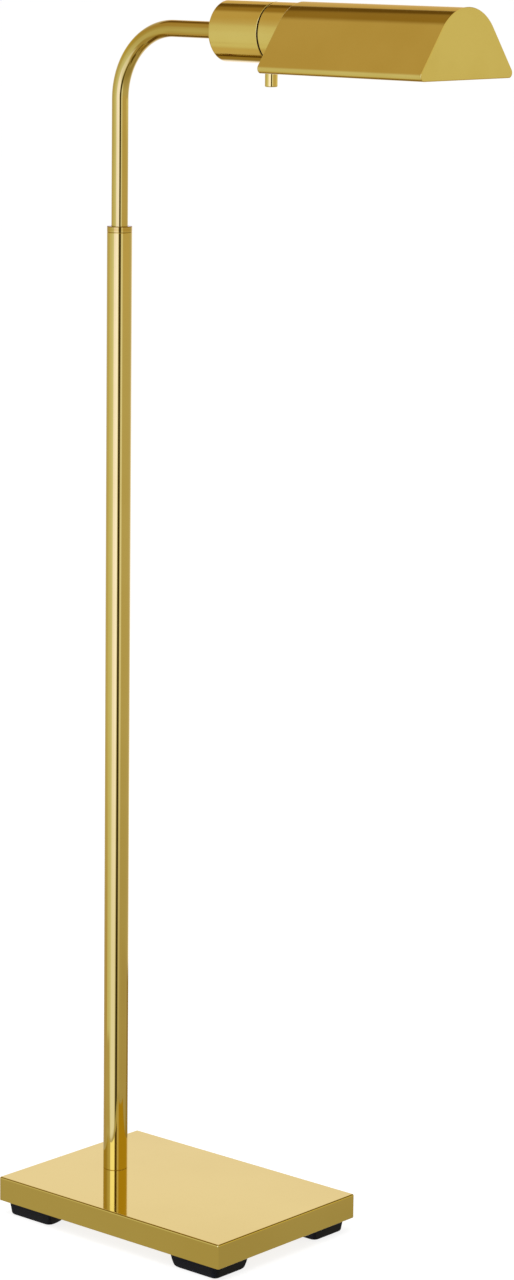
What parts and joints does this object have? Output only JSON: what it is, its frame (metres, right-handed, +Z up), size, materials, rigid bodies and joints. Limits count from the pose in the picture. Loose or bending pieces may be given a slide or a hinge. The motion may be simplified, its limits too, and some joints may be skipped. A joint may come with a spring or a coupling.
{
  "type": "adjustable floor lamp",
  "caption": "Polished brass reading floor lamp: a slab base, a telescoping pole, a bent arm that swivels, a tent-shaped shade that turns about the arm, and a dimmer knob under its cup.",
  "frame": {"origin": "middle of the whole lamp's footprint, on the floor under the feet", "axes": "+Z up along the pole, +X from the pole along the arm towards the shade's closed end, +Y to the left of the arm"},
  "size_m": [0.3772, 0.158, 0.9399],
  "materials": {
    "polished_brass": "polished",
    "foot_rubber": "matte",
    "plated_steel": "zinc plated",
    "nylon": "natural",
    "black_plastic": "matte",
    "flex_jacket": "satin",
    "phenolic": "moulded",
    "porcelain": "glazed",
    "cap_aluminium": "rolled",
    "frosted_glass": "frosted"
  },
  "bodies": {
    "base": {"base_plate": "polished_brass", "foot_rear_right": "foot_rubber", "foot_rear_left": "foot_rubber", "foot_front_right": "foot_rubber", "foot_front_left": "foot_rubber", "foot_screws": "plated_steel", "pole_tube": "polished_brass", "pole_plug": "polished_brass", "pole_stud": "plated_steel", "pole_washer": "plated_steel", "pole_nut": "plated_steel", "cord_inlet": "black_plastic", "base_flex": "flex_jacket", "coiled_flex": "flex_jacket", "pole_collar": "polished_brass", "collar_bush": "nylon"},
    "slider": {"slide_bush": "nylon"},
    "arm": {"arm_tube": "polished_brass", "arm_stop_clip": "plated_steel", "arm_end_plug": "polished_brass", "arm_flex": "flex_jacket", "head_stud": "plated_steel", "socket_cup": "polished_brass", "cup_nut": "plated_steel", "holder_strap": "plated_steel", "strap_screws": "plated_steel", "switch_housing": "phenolic", "lampholder_body": "phenolic", "lampholder_sleeve": "porcelain", "screw_shell": "polished_brass", "centre_contact": "polished_brass", "swivel_spigot": "plated_steel", "seam_washer": "black_plastic", "wave_washer": "plated_steel", "retaining_clip": "plated_steel", "bulb_tip": "black_plastic", "bulb_cap": "cap_aluminium", "bulb_glass": "frosted_glass"},
    "knob": {"switch_knob": "polished_brass", "switch_shaft": "plated_steel", "switch_rotor": "nylon", "knob_grub_screw": "plated_steel"},
    "shade": {"shade_collar": "polished_brass", "swivel_bush": "nylon", "shade_body": "polished_brass", "shade_front_cap": "polished_brass", "shade_rear_cap": "polished_brass", "collar_rivets": "plated_steel"}
  },
  "joints": [
    {"name": "height_slide", "type": "slide", "parent": "base", "child": "slider", "axis": [0, 0, 1], "range_m": [-0.091, 0.36], "deforming": ["coiled_flex"]},
    {"name": "arm_swivel", "type": "hinge", "parent": "slider", "child": "arm", "pos_m": [-0.1386, 0, 0.9166], "axis": [0, 0, 1], "range_deg": [-175, 175]},
    {"name": "shade_turn", "type": "hinge", "parent": "arm", "child": "shade", "pos_m": [0.0414, 0, 0.9166], "axis": [1, 0, 0], "range_deg": [-90, 90]},
    {"name": "knob_turn", "type": "hinge", "parent": "arm", "child": "knob", "pos_m": [0.0101, 0, 0.9166], "axis": [0, 0, 1], "range_deg": [0, 300]}
  ]
}
